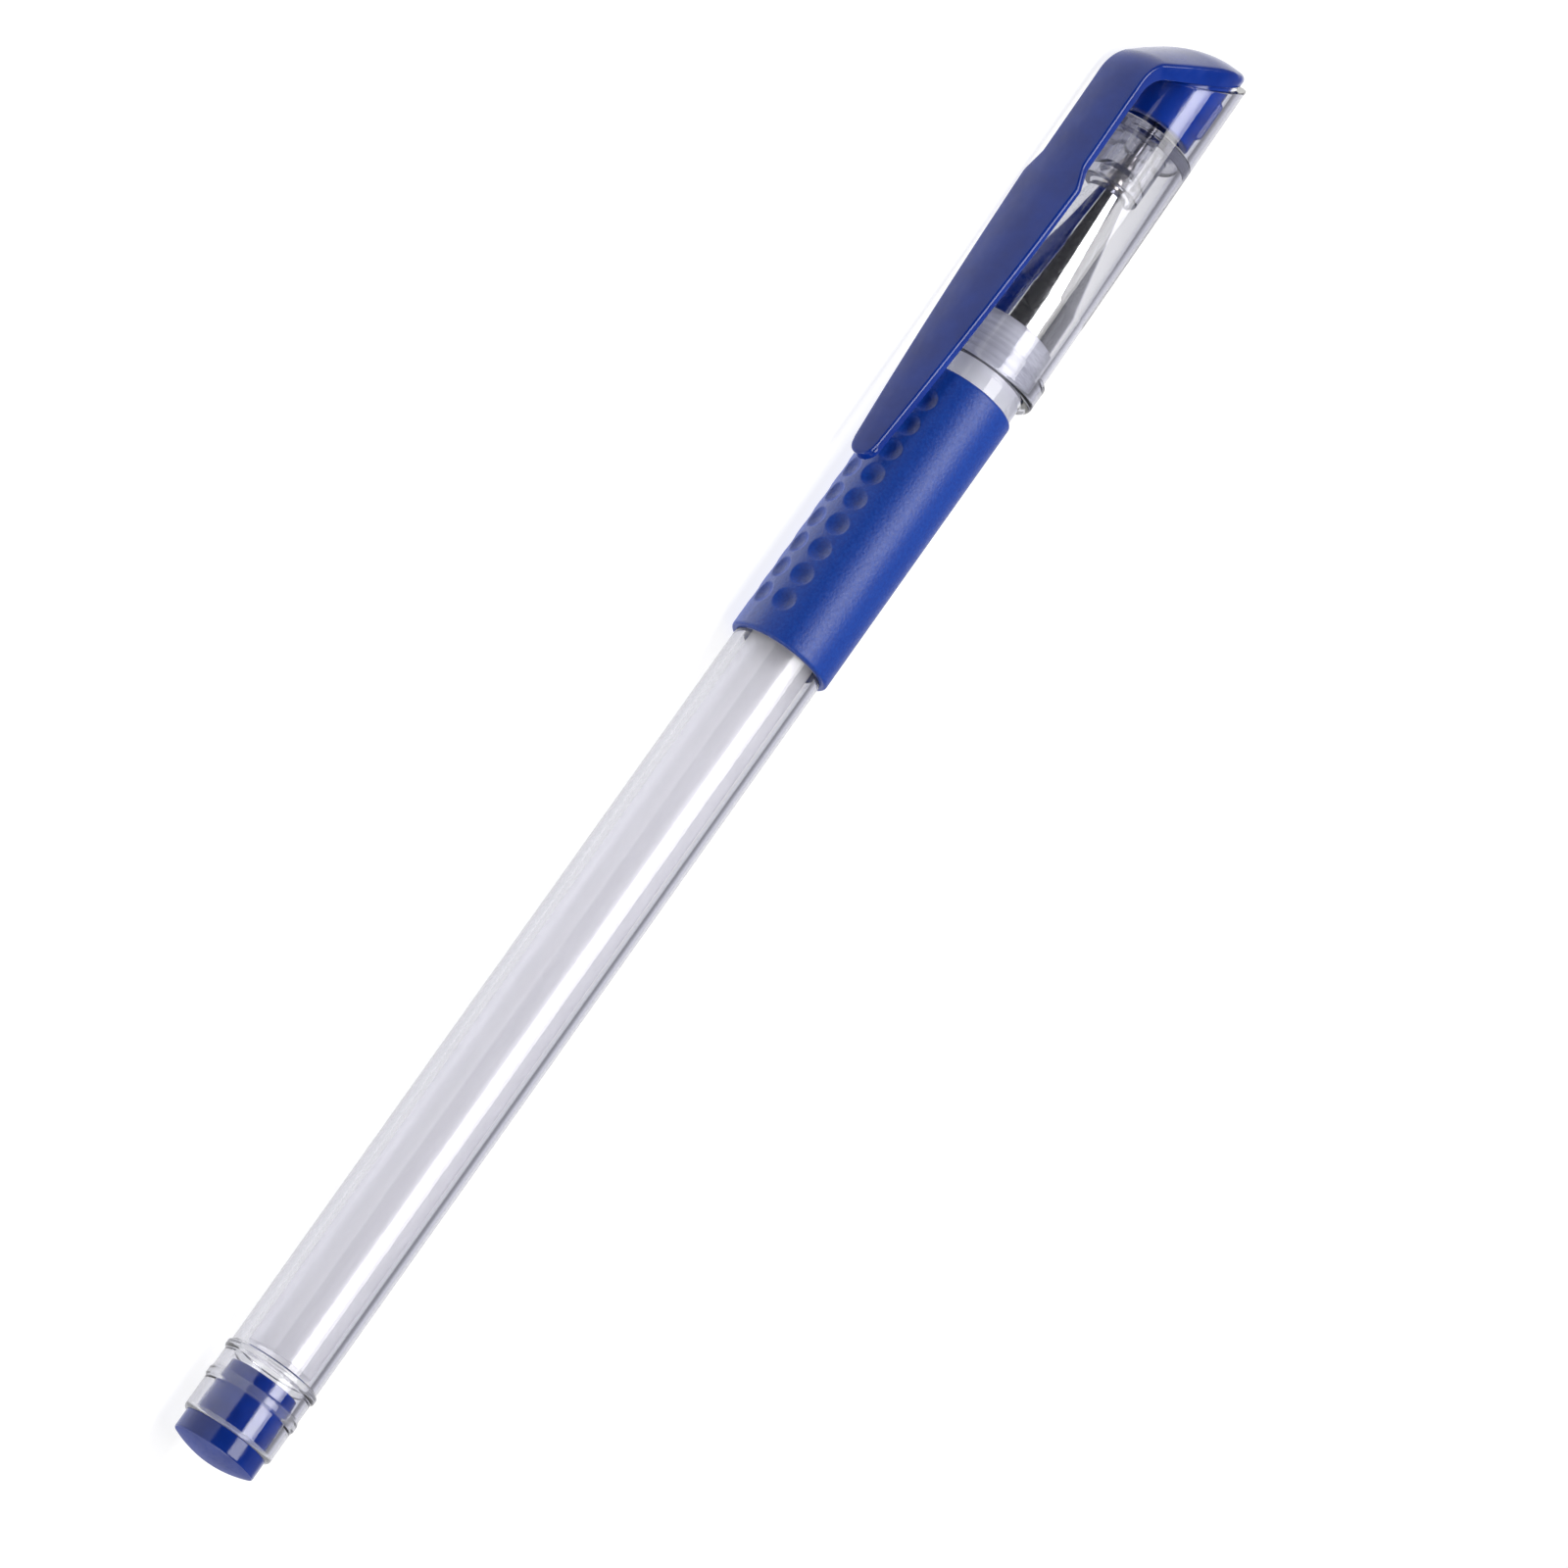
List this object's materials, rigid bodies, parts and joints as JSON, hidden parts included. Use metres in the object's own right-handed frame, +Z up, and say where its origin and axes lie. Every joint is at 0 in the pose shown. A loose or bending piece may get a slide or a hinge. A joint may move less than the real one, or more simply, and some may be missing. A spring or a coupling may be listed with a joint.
{
  "type": "capped needle pen",
  "caption": "Capped stick pen with clear barrel, dimpled blue rubber grip, screw-in chrome nose cone, steel needle point in an empty refill, and pull-off clear cap with springy pocket clip.",
  "frame": {"origin": "bottom centre of the pen's bounding box, on the surface that the pen lies on", "axes": "+X along the pen from its end plug to the top of its cap, +Z up, with the clip towards +Y and resting its edge on the surface"},
  "size_m": [0.1498, 0.0134, 0.0107],
  "materials": {
    "clear_plastic": "clear injection-moulded polystyrene",
    "blue_plastic": "glossy moulded",
    "blue_rubber": "fine matt grain",
    "refill_plastic": "translucent natural polypropylene",
    "nickel_silver": "turned",
    "needle_steel": "ground and polished",
    "chrome": "bright plated"
  },
  "bodies": {
    "barrel": {"barrel": "clear_plastic", "end_plug": "blue_plastic", "grip_sleeve": "blue_rubber"},
    "refill": {"refill_tube": "refill_plastic", "tip_holder": "refill_plastic", "tip_body": "nickel_silver", "needle": "needle_steel"},
    "nose": {"nose_cone": "chrome"},
    "cap": {"cap_shell": "clear_plastic", "cap_top": "blue_plastic"},
    "clip": {"clip_arm": "blue_plastic"}
  },
  "joints": [
    {"name": "nose_advance", "type": "slide", "parent": "barrel", "child": "refill", "axis": [1, 0, 0], "range_m": [0, 0.0012]},
    {"name": "nose_turn", "type": "hinge", "parent": "refill", "child": "nose", "pos_m": [0.04315, -0.00133, 0.00537], "axis": [1, 0, 0], "range_deg": [0, 720]},
    {"name": "cap_pull", "type": "slide", "parent": "barrel", "child": "cap", "axis": [1, 0, 0], "range_m": [0, 0.048]},
    {"name": "clip_flex", "type": "hinge", "parent": "cap", "child": "clip", "pos_m": [0.06359, 0.00615, 0.00281], "axis": [0, -0.3239, -0.9461], "range_deg": [0, 3], "stiffness_Nm_per_rad": 0.16}
  ],
  "couplings": [
    {"joint": "nose_turn", "follows": "nose_advance", "rad_per_m": 10472}
  ]
}
